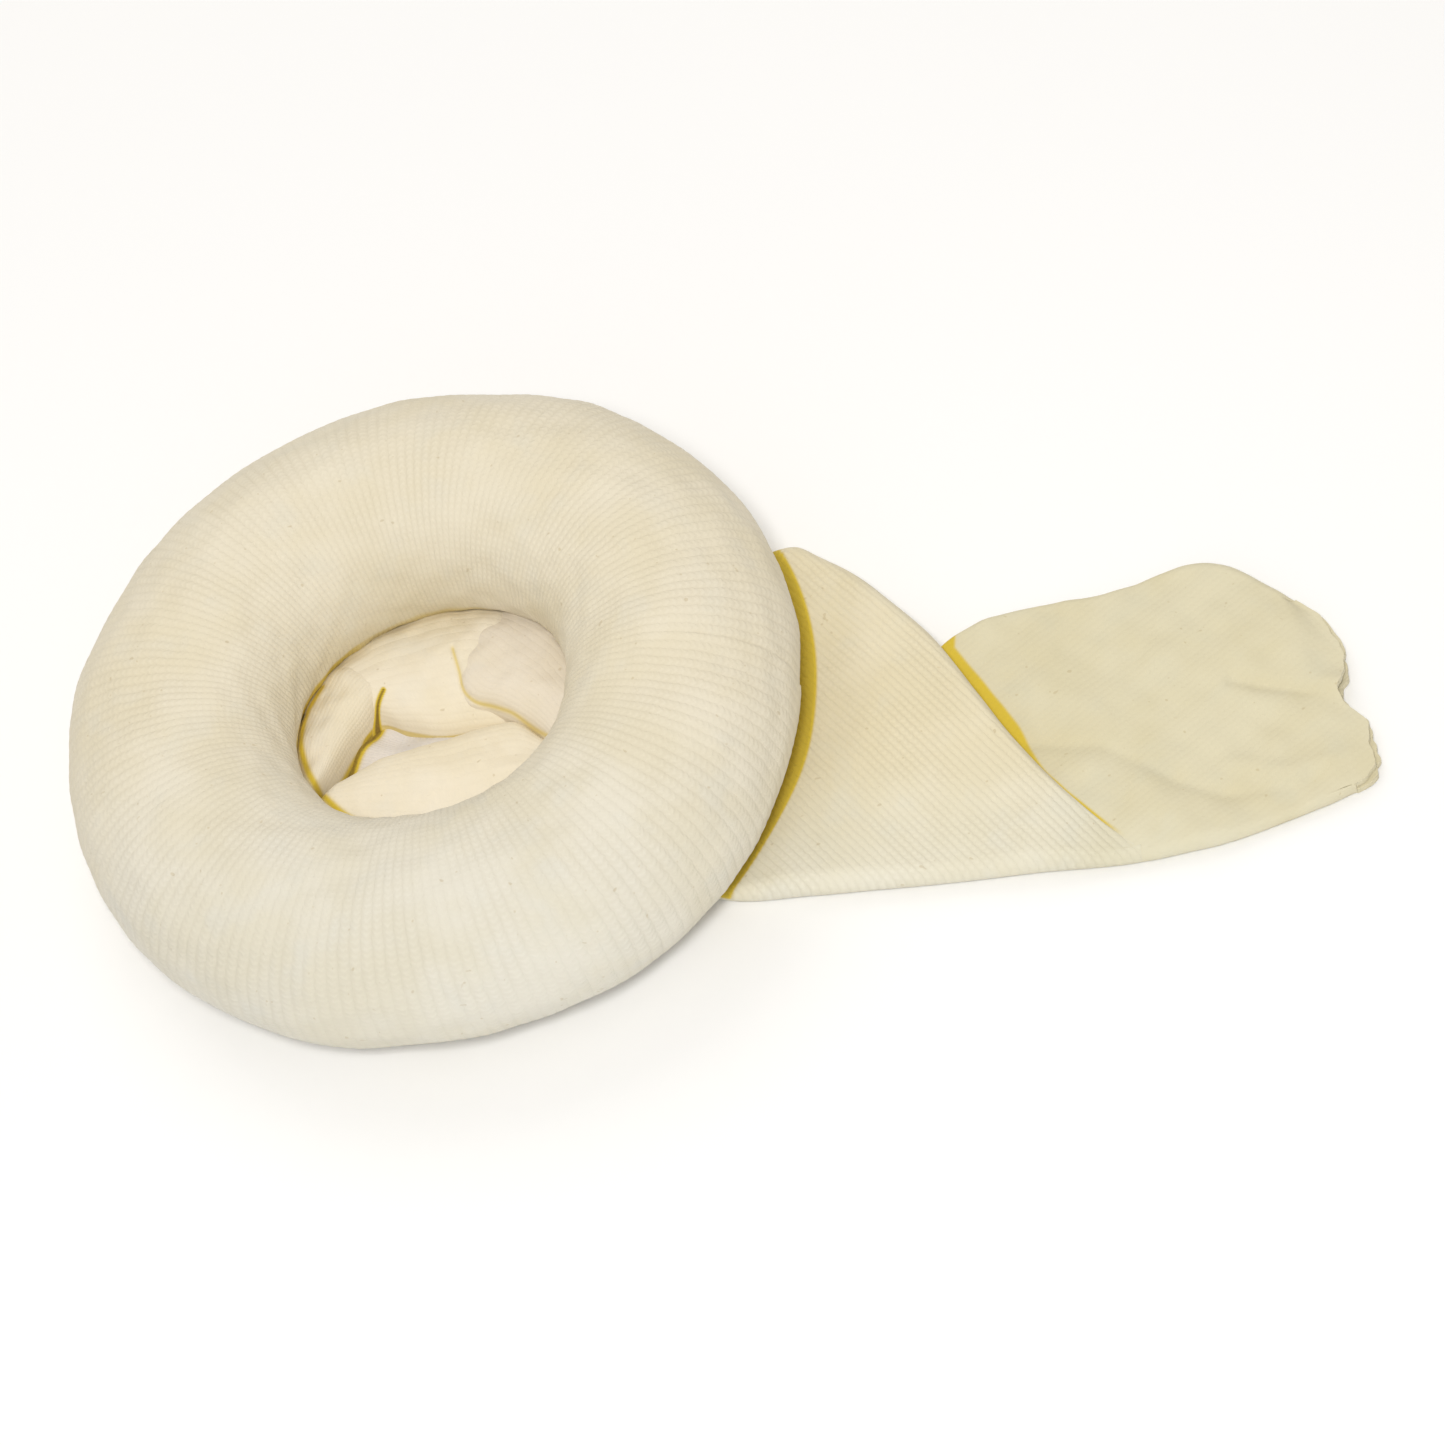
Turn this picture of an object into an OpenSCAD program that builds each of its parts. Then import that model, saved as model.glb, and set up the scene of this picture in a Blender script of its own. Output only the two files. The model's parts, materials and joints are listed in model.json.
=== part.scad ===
// Tubular stockinette bandage, rolled into a ring, with a free tail.
//
// One knitted cotton tube is rolled outwards on itself, lap over lap, into a soft ring. The part
// that isn't rolled gathers in the ring's hole, passes flat under the ring, and lies on the table.
// There a diagonal fold turns it over once, and it ends in the tube's open mouth.
// +X runs along the tail, +Z is up, and the origin is at the bottom centre of the bounding box.

/* [Ring] */
// Radius from the ring's axis to the middle of its section
ring_radius = 75; // [72:1:85]
// Half of the section's width
section_half_width = 33.5; // [32:0.5:35]
// Height of the ring above its flat underside
ring_height = 54; // [54:0.5:58]
// How far the roll has flattened where it rests
flattening = 2; // [1:0.5:3]
// Tilt of the ring, which rests on its tail on one side
ring_tilt = 2.1; // [2:0.05:2.5]

/* [Cloth] */
// Thickness of one wall of the knitted tube
wall = 2.2; // [1.8:0.1:2.2]
// Distance from one lap of the roll to the next
lap_pitch = 2.25; // [2.2:0.01:2.3]
// Number of laps around the rolled-in end
lap_count = 11; // [8:1:11]
// Space left between cloth that only touches
clearance = 0.2; // [0.1:0.05:0.3]

/* [Tail] */
// Distance from the ring's axis to the end of the tail
tail_reach = 268; // [268:1:280]
// Distance from the ring's axis to the line where the tail lifts off the table
lift_line = 114; // [113:1:118]
// Distance from the ring's axis to the line where the end of the tail folds back
end_line = 204; // [202:1:208]
// Distance from the ring's axis to the line where the mouth's lip opens
lip_line = 236; // [232:1:240]
// Distance from the tail's centreline to the crease of the diagonal fold
crease_offset = 49.5; // [48:0.5:51]

/* [Gather] */
// Radius of the cloth that is gathered in the hole
gather_radius = 39; // [36:0.5:39]
// Height of the left fold of the gather
left_fold_height = 18; // [12:1:22]
// Height of the front fold of the gather
front_fold_height = 16; // [12:1:22]
// Height of the back fold of the gather
back_fold_height = 20; // [12:1:22]

/* [Hidden] */

cotton = "cornsilk";
cotton_shade = "wheat";
cotton_deep = "burlywood";

// Section of the ring
section_half_height = (ring_height + flattening) / 2;
section_centre = ring_height - section_half_height;
flat_half_width = section_half_width * sqrt(1 - pow(section_centre / section_half_height, 2));
// Each lap starts on the inner side of the underside and runs up the hole and over the top
lap_start = -120;
// A lap ends just short of where the next one starts
lap_turn = 359;
// Part of a turn over which a lap moves in by one pitch
jog = 30;
lap_sides = 60;

// Heights in the flattened tube, which is two walls thick
tube_height = 2 * wall;
front_level = tube_height + 2 * clearance;
crease_radius = tube_height + clearance;
ramp_length = 20;

// The tilted ring stands on the outer edge of its flat underside
pivot_radius = ring_radius + flat_half_width;
ring_far_left = (ring_radius + section_half_width - pivot_radius) * cos(ring_tilt)
    + section_centre * sin(ring_tilt);
half_length = (tail_reach + pivot_radius + ring_far_left) / 2;
ring_x = half_length - tail_reach;

// Outlines of the tail, seen from above and measured from the ring's axis
outline_steps = 6;
overlap_edge = [[90, 67], [128, 66], [151, 0], [200, -42]];
upper_edge = [[142, 30], [160, 39], [188, 43], [217, 52], [241, 40], [256, 24]];
lower_edge = [[202, -50], [219, -47], [236, -42], [258, -32], [268, -21]];
mouth_step = [[260, 1], [265, -5], [266, -14]];
under_ring_side = [[60, 44], [90, 62], [100, 65], [114, 57]];
front_side = -54.5;
table_width = 400;

// The open mouth of the gather, and the crease that parts its front and back folds
gap_left = [-28, -14];
gap_back = [-19, 16];
gap_right = [-1, -1];
gather_crease = [[1, 25], [5, 14], [9, 7], [17, 5], [27, -3]];
// The floor reaches a little way under the ring's inner edge
floor_radius = ring_radius - section_half_width + 12.5;

// ---------------------------------------------------------------- curves

// Point at t, from 0 to 1, of the cubic Bezier curve with four control points
function bezier(p, t) = pow(1 - t, 3) * p[0] + 3 * t * pow(1 - t, 2) * p[1]
    + 3 * t * t * (1 - t) * p[2] + pow(t, 3) * p[3];

// Points along that curve
function bezier_points(p, steps) = [for (i = [0:steps]) bezier(p, i / steps)];

// Tangent of a smooth curve at the i-th of its points
function tangent(p, i) = (p[min(i + 1, len(p) - 1)] - p[max(i - 1, 0)]) / 2;

// Points of a smooth curve that passes through every given point
function smooth(p, steps) = concat(
    [for (i = [0:len(p) - 2], s = [0:steps - 1])
        let (
            t = s / steps,
            a = p[i] + tangent(p, i) / 3,
            b = p[i + 1] - tangent(p, i + 1) / 3
        ) bezier([p[i], a, b, p[i + 1]], t)],
    [p[len(p) - 1]]
);

function reversed(p) = [for (i = [len(p) - 1:-1:0]) p[i]];

// Points of an arc about the origin, from angle a to angle b
function arc(r, a, b, steps) = [for (i = [0:steps])
    r * [cos(a + (b - a) * i / steps), sin(a + (b - a) * i / steps)]];

// The part of an outline beyond x, and the part before it
function beyond(p, x) = [for (q = p) if (q[0] > x) q];
function before(p, x) = [for (q = p) if (q[0] < x) q];

// ---------------------------------------------------------------- placing

// From the ring's own frame, where it stands level, to its tilted place on the tail
module tilted_ring() {
    translate([ring_x - pivot_radius, 0, 0])
        rotate([0, -ring_tilt, 0])
            translate([pivot_radius, 0, 0])
                children();
}

module from_ring_axis() translate([ring_x, 0, 0]) children();

// A flat wall of cloth with a given outline
module flat_wall(outline, level, height = wall) {
    from_ring_axis()
        translate([0, 0, level])
            linear_extrude(height = height)
                polygon(outline);
}

// ---------------------------------------------------------------- ring

// Point of the section at angle a, a given depth inside the ring's surface
function section_point(a, inset) = [
    ring_radius + (section_half_width - inset) * cos(a),
    max(section_centre + (section_half_height - inset) * sin(a), inset)
];

// Depth of lap n after a turn of u degrees: level, then one pitch deeper at the end
function lap_depth(n, u) = lap_pitch * (n + max(0, (u - lap_turn + jog) / jog));

// One side of lap n, in order from its start, a given depth inside its outer side
function lap_side(n, inset) = [for (i = [0:lap_sides])
    let (u = lap_turn * i / lap_sides)
        section_point(lap_start - u, lap_depth(n, u) + inset)];

module roll_lap(n) {
    tilted_ring()
        rotate_extrude($fn = 120)
            polygon(concat(lap_side(n, 0), reversed(lap_side(n, lap_pitch - clearance))));
}

module outer_lap() color(cotton) roll_lap(0);
module inner_lap(n) color(cotton_shade) roll_lap(n);

// The first end of the tube, turned in and flattened at the heart of the roll, inside the last lap
module rolled_in_end() {
    color(cotton_deep)
        tilted_ring()
            rotate_extrude($fn = 120)
                polygon(lap_side(lap_count, 0));
}

// ---------------------------------------------------------------- gather in the hole

// Outline of the flattened tube under the ring, closed on the hole's side by an arc of radius r
function under_ring_outline(r, from, to) = concat(
    arc(r, from, to, 30),
    before(smooth(under_ring_side, outline_steps), lift_line),
    [[lift_line, under_ring_side[3][1]], [lift_line, front_side], [93, front_side], [60, -44]]
);

// The lower wall of the tube, from the hole to the line where the tail lifts
module gather_floor() {
    color(cotton_shade) flat_wall(under_ring_outline(floor_radius, 310, 50), 0);
}

// The upper wall of the tube under the ring, on the tail's side
module under_ring_wall() {
    color(cotton_shade) flat_wall(under_ring_outline(gather_radius + 2, -75, 75), wall);
}

module gather_fold(outline, top) {
    flat_wall(outline, wall + clearance / 2, top - wall - clearance / 2);
}

module gather_fold_left() {
    color(cotton)
        gather_fold(concat(
            arc(gather_radius, 210, 83, 24),
            before(gather_crease, 9.5),
            [gap_right, gap_back, gap_left]
        ), left_fold_height);
}

module gather_fold_front() {
    back = [for (q = reversed(gather_crease)) if (q[0] > 8) q - [0, 2 * clearance]];
    color(cotton)
        gather_fold(concat(
            arc(gather_radius, 212, 338, 24),
            back,
            [gap_right - [0, 2 * clearance], gap_left - [0, 2 * clearance]]
        ), front_fold_height);
}

module gather_fold_back() {
    color(cotton_shade)
        gather_fold(concat(
            arc(gather_radius, 82, -20, 20),
            [for (q = reversed(gather_crease)) q + 2 * clearance * [1, 1]]
        ), back_fold_height);
}

// ---------------------------------------------------------------- tail

// A wall that climbs from the table on to the back panel, seen from the side
module climbing_wall(level) {
    start = lift_line + clearance;
    underside = [
        [start, level],
        [lift_line + ramp_length, level + front_level],
        [tail_reach, level + front_level]
    ];
    from_ring_axis()
        intersection() {
            rotate([90, 0, 0])
                linear_extrude(height = table_width, center = true)
                    polygon(concat(underside, [for (q = reversed(underside)) q + [0, wall]]));
            linear_extrude(height = table_width)
                polygon(front_panel_outline());
        }
}

// Outline of the panel that lies on top at the fold
function front_panel_outline() = concat(
    [[lift_line, under_ring_side[3][1]]],
    beyond(bezier_points(overlap_edge, 4 * outline_steps), lift_line + 1),
    [[200, -crease_offset], [lift_line + ramp_length, -crease_offset]],
    [[lift_line + ramp_length, front_side], [lift_line, front_side]]
);

module front_panel_lower_wall() color(cotton_shade) climbing_wall(0);
module front_panel_upper_wall() color(cotton) climbing_wall(wall);

// The rounded crease where the cloth turns from the front panel under to the back panel
module diagonal_crease() {
    crease_start = lift_line + ramp_length + clearance;
    color(cotton)
        translate([ring_x + crease_start, -crease_offset - clearance, crease_radius])
            rotate([90, 0, 90])
                linear_extrude(height = 200 - crease_start)
                    intersection() {
                        difference() {
                            circle(r = crease_radius, $fn = 64);
                            circle(r = clearance, $fn = 32);
                        }
                        translate([-crease_radius, 0])
                            square(2 * crease_radius, center = true);
                    }
}

// Outline of the tail beyond the fold, from its hidden edge to its open mouth
function back_outline() = concat(
    [[lift_line + ramp_length + 3, -crease_offset]],
    smooth(upper_edge, outline_steps),
    mouth_step,
    reversed(smooth(lower_edge, outline_steps)),
    [[200, -crease_offset]]
);

// A strip of one wall of that tail, between two lines across it
module tail_strip(from, to, level) {
    from_ring_axis()
        translate([0, 0, level])
            linear_extrude(height = wall)
                intersection() {
                    polygon(back_outline());
                    translate([from, -table_width / 2])
                        square([to - from, table_width]);
                }
}

module back_panel_lower_wall() color(cotton_shade) tail_strip(lift_line, end_line, 0);
module back_panel_upper_wall() color(cotton) tail_strip(lift_line, end_line, wall);

module end_panel_lower_wall() {
    color(cotton_shade) tail_strip(end_line + clearance, tail_reach + 1, 0);
}

module end_panel_upper_wall() color(cotton) tail_strip(end_line + clearance, lip_line, wall);

// The upper wall at the mouth, which lifts to let a limb in
module mouth_lip() color(cotton) tail_strip(lip_line + clearance, tail_reach + 1, wall);

// ---------------------------------------------------------------- nodes

outer_lap();  // roll_lap_01
inner_lap(1);  // roll_lap_02
inner_lap(2);  // roll_lap_03
inner_lap(3);  // roll_lap_04
inner_lap(4);  // roll_lap_05
inner_lap(5);  // roll_lap_06
inner_lap(6);  // roll_lap_07
inner_lap(7);  // roll_lap_08
inner_lap(8);  // roll_lap_09
inner_lap(9);  // roll_lap_10
inner_lap(10);  // roll_lap_11
rolled_in_end();
gather_floor();
gather_fold_left();
gather_fold_front();
gather_fold_back();
under_ring_wall();
front_panel_lower_wall();
front_panel_upper_wall();
diagonal_crease();
back_panel_lower_wall();
back_panel_upper_wall();
end_panel_lower_wall();
end_panel_upper_wall();
mouth_lip();
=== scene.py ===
"""Looks of a tubular stockinette bandage: a knitted cotton tube, rolled outwards on itself into a
soft ring, with a free tail that lies flat, folds over once and ends in the tube's open mouth.

Shapes are worked out in millimetres from the ring's axis, with +X along the tail and z from the
table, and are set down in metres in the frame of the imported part.
"""

import json
import math

import bmesh
import bpy
import numpy as np
from mathutils import Matrix, Vector


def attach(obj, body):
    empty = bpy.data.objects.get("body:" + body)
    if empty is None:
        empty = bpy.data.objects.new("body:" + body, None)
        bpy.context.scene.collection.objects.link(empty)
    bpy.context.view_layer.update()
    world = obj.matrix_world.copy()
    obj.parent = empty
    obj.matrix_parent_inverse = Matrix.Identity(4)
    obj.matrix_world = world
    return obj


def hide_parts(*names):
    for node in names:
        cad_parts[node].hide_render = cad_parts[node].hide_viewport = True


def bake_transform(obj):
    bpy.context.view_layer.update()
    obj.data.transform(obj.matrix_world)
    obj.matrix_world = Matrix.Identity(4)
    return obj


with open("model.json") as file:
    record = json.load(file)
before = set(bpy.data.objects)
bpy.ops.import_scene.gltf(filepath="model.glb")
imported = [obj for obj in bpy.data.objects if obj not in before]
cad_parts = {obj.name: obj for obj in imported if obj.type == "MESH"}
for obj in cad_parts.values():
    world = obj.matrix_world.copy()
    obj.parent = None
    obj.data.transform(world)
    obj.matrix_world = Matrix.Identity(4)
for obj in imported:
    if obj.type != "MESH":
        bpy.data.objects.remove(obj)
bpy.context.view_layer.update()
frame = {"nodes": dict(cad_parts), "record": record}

# ------------------------------------------------------------------ sizes, in millimetres

MM = 0.001
joints = {j["name"]: j for j in frame["record"]["behaviour"]["joints"]}


def hinge(name, axis):
    """A hinge's place along one axis, in millimetres from the ring's axis."""
    place = joints[name]["pos_m"][axis]
    if axis == 0:
        place -= joints["tail_swing"]["pos_m"][0]
    return place / MM


RING_X = joints["tail_swing"]["pos_m"][0]
LIFT_LINE = hinge("tail_lift", 0)
END_LINE = hinge("end_lift", 0)
LIP_LINE = hinge("mouth_open", 0)
CREASE_LINE = hinge("fold_open", 1)

RING_RADIUS = 75.0
SECTION_HALF_WIDTH = 33.6
SECTION_HALF_HEIGHT = 28.1
SECTION_CENTRE = 26.0
SEAM_TURN = math.radians(-122)
RING_TILT = math.radians(2.1)
TILT_PIVOT = 87.4
LAP_STEP = 2.2

WALES = 178
COURSE_PITCH = 1.9
TAIL_WALE_PITCH = 2.1
WALE_ANGLE = math.radians(-48)
TURNED_WALE_ANGLE = math.radians(38)

STACK = 9.2
LIP_THICKNESS = 2.05
LOWER_LIP_THICKNESS = 1.9
STITCH_HEIGHT = 0.00022


# ------------------------------------------------------------------ curves and ripples


def through(points, n):
    """n points along the smooth curve through the given ones: between two of them it is the cubic
    whose tangents are half the step from the point before to the point after."""
    p = np.array(points, float)
    chord = np.concatenate([[0], np.cumsum(np.linalg.norm(np.diff(p, axis=0), axis=1))])
    tangent = np.gradient(p, chord, axis=0)
    at = np.linspace(0, chord[-1], n)
    i = np.clip(np.searchsorted(chord, at, side="right") - 1, 0, len(p) - 2)
    step = (chord[i + 1] - chord[i])[:, None]
    t = (at - chord[i])[:, None] / step
    return (
        (2 * t**3 - 3 * t**2 + 1) * p[i]
        + (t**3 - 2 * t**2 + t) * step * tangent[i]
        + (3 * t**2 - 2 * t**3) * p[i + 1]
        + (t**3 - t**2) * step * tangent[i + 1]
    )


def across(points, x):
    """y at each x of the smooth curve through points whose x only grows."""
    line = through(points, 400)
    return np.interp(x, line[:, 0], line[:, 1])


def across_y(points, y):
    """x at each y of the smooth curve through points whose y only grows."""
    line = through(points, 400)
    return np.interp(y, line[:, 1], line[:, 0])


def ease(x, low, high):
    """0 before low, 1 after high, and smooth in between."""
    t = np.clip((x - low) / (high - low), 0, 1)
    return t * t * (3 - 2 * t)


def ripple(x, y, size, seed, waves=9):
    """Smooth unevenness from about -1 to 1: a sum of plane waves, each about size long, with
    directions, lengths and phases drawn once from the seed."""
    draw = np.random.default_rng(seed)
    turn, phase = draw.uniform(0, 2 * np.pi, (2, waves))
    length = size * draw.uniform(0.6, 1.7, waves)
    total = sum(
        np.sin(2 * np.pi * (x * np.cos(a) + y * np.sin(a)) / w + p)
        for a, p, w in zip(turn, phase, length)
    )
    return total / math.sqrt(waves)


def near_line(x, y, points, width):
    """1 on a smooth line through points and 0 away from it, as a bell of the given half-width."""
    line = through(points, 60)
    far = np.full(np.shape(x), np.inf)
    for a, b in zip(line[:-1], line[1:]):
        d = b - a
        t = np.clip(((x - a[0]) * d[0] + (y - a[1]) * d[1]) / (d @ d), 0, 1)
        far = np.minimum(far, np.hypot(x - a[0] - t * d[0], y - a[1] - t * d[1]))
    return np.exp(-((far / width) ** 2))


# ------------------------------------------------------------------ meshes


def surface(name, grid, stitches, shade, close_rows=False, close_columns=False):
    """A mesh from a grid of points, rows by columns, in millimetres from the ring's axis.

    stitches holds the wale and the course at each point, shade how much painted shade it takes there,
    where it lies folded in. A direction that closes on itself joins its last line of points to its
    first. Points that coincide, as at a pole, are merged, and the faces are turned outwards.
    """
    rows, columns = grid.shape[:2]
    row = np.arange(rows if close_rows else rows - 1)
    column = np.arange(columns if close_columns else columns - 1)
    i, j = (a.ravel() for a in np.meshgrid(row, column, indexing="ij"))
    corner_rows = np.stack([i, i + 1, i + 1, i], axis=1)
    corner_columns = np.stack([j, j, j + 1, j + 1], axis=1)
    loops = (corner_rows % rows) * columns + corner_columns % columns

    points = grid.reshape(-1, 3) * MM
    points[:, 0] += RING_X
    mesh = bpy.data.meshes.new(name)
    mesh.vertices.add(len(points))
    mesh.vertices.foreach_set("co", points.astype(np.float32).ravel())
    mesh.loops.add(loops.size)
    mesh.loops.foreach_set("vertex_index", loops.astype(np.int32).ravel())
    mesh.polygons.add(len(loops))
    mesh.polygons.foreach_set("loop_start", np.arange(0, loops.size, 4, dtype=np.int32))
    knit = mesh.uv_layers.new(name="knit")
    knit.data.foreach_set(
        "uv", stitches[corner_rows, corner_columns].reshape(-1, 2).astype(np.float32).ravel()
    )
    painted_shade_level = mesh.attributes.new("fold_shade", "FLOAT", "POINT")
    painted_shade_level.data.foreach_set("value", np.broadcast_to(shade, (rows, columns)).astype(np.float32).ravel())
    mesh.update(calc_edges=True)

    form = bmesh.new()
    form.from_mesh(mesh)
    bmesh.ops.remove_doubles(form, verts=form.verts, dist=1e-6)
    bmesh.ops.recalc_face_normals(form, faces=form.faces)
    form.to_mesh(mesh)
    form.free()
    mesh.shade_smooth()
    mesh.set_sharp_from_angle(angle=math.radians(62))
    piece = bpy.data.objects.new(name, mesh)
    bpy.context.collection.objects.link(piece)
    return piece


def with_caps(grid, wall_points=None):
    """The grid with one more row at each end, so that a tube of closed rows has closed ends. The
    new row is gathered into the middle of the end, or, if wall_points is given, it is the line
    halfway between the two walls: the row is pressed flat, each point against the one across."""
    ends = []
    for end in (grid[0], grid[-1]):
        if wall_points:
            across_from = (2 * wall_points + (len(end) - 2 * wall_points) // 2 - 1
                           - np.arange(len(end))) % len(end)
            ends.append((end + end[across_from])[None] / 2)
        else:
            ends.append(np.broadcast_to(end.mean(axis=0), end.shape)[None])
    return np.concatenate([ends[0], grid, ends[1]])


def padded_rows(values):
    """Values for a grid that with_caps made: the first and last rows are repeated."""
    return np.concatenate([values[:1], values, values[-1:]])


# ------------------------------------------------------------------ knit


def rib(wale):
    """Height of the cloth across a wale, from 0 in the groove between two to 1 on the crest."""
    return np.abs(np.sin(np.pi * wale)) ** 0.8


# ------------------------------------------------------------------ the ring


def tilted(grid):
    """The grid after the ring's tilt, which lifts its tail side about the far edge of its flat."""
    x = grid[..., 0] + TILT_PIVOT
    z = grid[..., 2]
    return np.stack(
        [
            x * math.cos(RING_TILT) - z * math.sin(RING_TILT) - TILT_PIVOT,
            grid[..., 1],
            x * math.sin(RING_TILT) + z * math.cos(RING_TILT),
        ],
        axis=-1,
    )


def ring_cover():
    """The outer lap: a torus with an oval section that is flat where it rests. Its wales run round
    the section, so the ribs stand out from it as a function of the angle round the axis. Over the
    last tenth of its turn the lap dips by one lap's pitch, under its own start. A sag bulges out on
    the front side, long uneven swellings go over the whole, and a soft maximum of the oval's height
    and the floor makes the flat underside."""
    per_wale, turns = 6, 92
    around = np.linspace(0, 2 * np.pi, WALES * per_wale, endpoint=False)[:, None]
    turn = np.linspace(0, 1, turns)[None, :]
    angle = SEAM_TURN - 2 * np.pi * turn
    dip = LAP_STEP * ease(turn, 0.9, 0.985)

    from_sag = around - math.radians(315)
    sag = 2.6 * np.exp(-((from_sag / 0.5) ** 2)) * ease(np.cos(angle), 0.1, 0.9)
    wale = WALES * around / (2 * np.pi) + 0.10 * ripple(around * 40, turn * 60, 34, 3)
    radius = RING_RADIUS + SECTION_HALF_WIDTH * np.cos(angle)
    pitch = 2 * np.pi * radius / WALES
    swell = 0.5 * ripple(radius * np.cos(around), radius * np.sin(around), 48, 5)
    swell = swell + 0.22 * ripple(around * RING_RADIUS, 60 * angle, 17, 6)
    uneven = 1 + 0.3 * ripple(around * RING_RADIUS, 30 * angle, 12, 8)
    out = swell + sag - dip + 0.03 * pitch * uneven * (rib(wale) - 0.6)

    r = RING_RADIUS + (SECTION_HALF_WIDTH + out) * np.cos(angle)
    z = SECTION_CENTRE + (SECTION_HALF_HEIGHT + out) * np.sin(angle)
    flat = 0.6 + dip * 0.9
    softness = 0.8
    z = flat + softness * np.logaddexp(0, (z - flat) / softness)
    grid = tilted(np.stack([r * np.cos(around), r * np.sin(around), z], axis=-1))

    section = np.hypot(SECTION_HALF_WIDTH, SECTION_HALF_HEIGHT) / math.sqrt(2)
    lines = np.linspace(0, WALES, WALES * per_wale + 1)[:, None]
    courses = 2 * np.pi * section / COURSE_PITCH * np.linspace(0, 1, turns + 1)[None, :]
    stitches = np.stack(np.broadcast_arrays(lines, courses), axis=-1)
    # Painted shade: the foot of the hole's wall turns straw on its left and far sides, where the folds
    # meet it.
    left = ease(np.cos(around - math.radians(186)), 0.25, 0.8)
    far = 0.5 * ease(np.cos(around - math.radians(120)), 0.5, 0.9)
    foot_of_wall = ease(-grid[..., 2], -21.4, -18.6) * (r < RING_RADIUS)
    shade = 0.5 * foot_of_wall * np.maximum(left, far)
    piece = surface("ring_cover", grid, stitches, shade, close_rows=True, close_columns=True)
    return piece


# ------------------------------------------------------------------ the gather in the hole

# Rails of the four folds in plan: each fold goes from its rim, under the hole's wall, to its edge.
RIM_LEFT = [(-40, -23), (-44.6, -12), (-47, 2), (-46.6, 12), (-44, 22), (-39, 31), (-30, 40)]
EDGE_LEFT = [(-36.8, -14.6), (-33.4, -7), (-30.4, 0.6), (-27.6, 6.6), (-23.6, 13.4), (-20.6, 18.6),
             (-17, 25)]
RIM_FAR = [(-47, 4), (-44.6, 20), (-38, 32), (-26, 42.6), (-12, 48.6), (3, 50.4), (18, 47)]
EDGE_FAR = [(-29, 2), (-27.2, 8), (-23, 11.6), (-14.3, 8.8), (-4.1, 6.2), (7, 6.6), (19, 6.5)]
RIM_FRONT = [(-43, -22), (-36.5, -33.5), (-22.5, -44), (0, -49.5), (22.5, -44), (38, -32),
             (46.5, -16)]
EDGE_FRONT = [(-37.4, -17.6), (-31, -10.8), (-20.4, -2.2), (-11, 1), (-2, 3.6), (8.6, 7), (18.4, 8.2),
              (27, 1.6), (38, -10)]
RIM_BACK = [(2, 50.6), (17, 47.6), (33, 37), (43, 22), (48.4, 5), (47.6, -9), (45.5, -18)]
EDGE_BACK = [(-4.6, 31), (-2.4, 23.5), (1.6, 15.6), (4.6, 12.2), (11.2, 10.4), (17.6, 7.2), (26, 1.2),
             (36, -10)]

# Lines in plan where shade is painted on the folds: the gap between two of them, their meeting
# with the hole's wall, and the crease where one lies over another.
GAP = [(-36, -13.6), (-32.8, -6.6), (-30, 0.6), (-27.2, 6.2), (-23.4, 12.4), (-20.4, 18)]
RING_EDGE = [(-39.4, 20.6), (-43.2, 12.2), (-43.8, 3), (-41, -8.2), (-36, -17), (-28.5, -25), (-20, -30)]
CREASE = [(-0.4, 30.5), (1.8, 23.4), (4.1, 16), (6.4, 13.6), (11.9, 11.5), (18.5, 8.2), (25.3, 2.7),
          (31, -2)]
FOLD_BASE = 3.0


def puffed_fold(name, rim, edge, height, lean, power, seed, tapers, foot_shade, gap_shade):
    """A soft fold of cloth between two rails, the hole's rim and the fold's free edge. Its section
    is an oval from rail to rail, highest at a share lean of the way across and fuller for a lower
    power; both go from their first value to their second along the fold. The fold sinks to nothing
    over its tapers at the two ends, shallow puckers run across it, and the crease dents it."""
    along, around = 200, 180
    s = np.linspace(0, 1, along)[:, None]
    turn = np.linspace(0, 2 * np.pi, around, endpoint=False)[None, :]
    change = ease(s, 0.36, 0.56)
    lean = lean[0] + (lean[1] - lean[0]) * change
    power = power[0] + (power[1] - power[0]) * change
    share = ((1 - np.cos(turn)) / 2) ** (np.log(lean) / math.log(0.5))
    outer, inner = (through(rail, along)[:, None, :] for rail in (rim, edge))
    plan = outer * (1 - share[..., None]) + inner * share[..., None]
    x, y = plan[..., 0], plan[..., 1]
    ends = np.clip(np.minimum(s / tapers[0], (1 - s) / tapers[1]), 0, 1)
    ends = np.sqrt(1 - (1 - ends) ** 2)
    rise = np.abs(np.sin(turn)) ** power * (turn < np.pi)
    pucker = 0.5 * ripple(x, y, 19, seed) + 0.16 * ripple(x, y, 7, seed + 1)
    dent = 0.8 * near_line(x, y, CREASE, 0.9)
    z = FOLD_BASE + ends * rise * (height - FOLD_BASE + pucker - dent)
    grid = np.concatenate([plan, z[..., None]], axis=-1)

    wale = (np.arange(around + 1) / around * 44)[None, :]
    course = (np.arange(along + 2) / along * 46)[:, None]
    stitches = np.stack(np.broadcast_arrays(wale, course), axis=-1)
    # Painted shade, straw to brown: at the fold's foot, along the hole's wall, at the crease and in the
    # gap.
    shade = np.maximum.reduce([
        foot_shade * ease(-z, -7.3, -6.3),
        0.5 * near_line(x, y, RING_EDGE, 1.2),
        0.3 * near_line(x, y, CREASE, 0.6),
        gap_shade * near_line(x, y, GAP, 0.65),
    ])
    piece = surface(name, with_caps(grid), stitches, padded_rows(shade), close_columns=True)
    return piece


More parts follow.
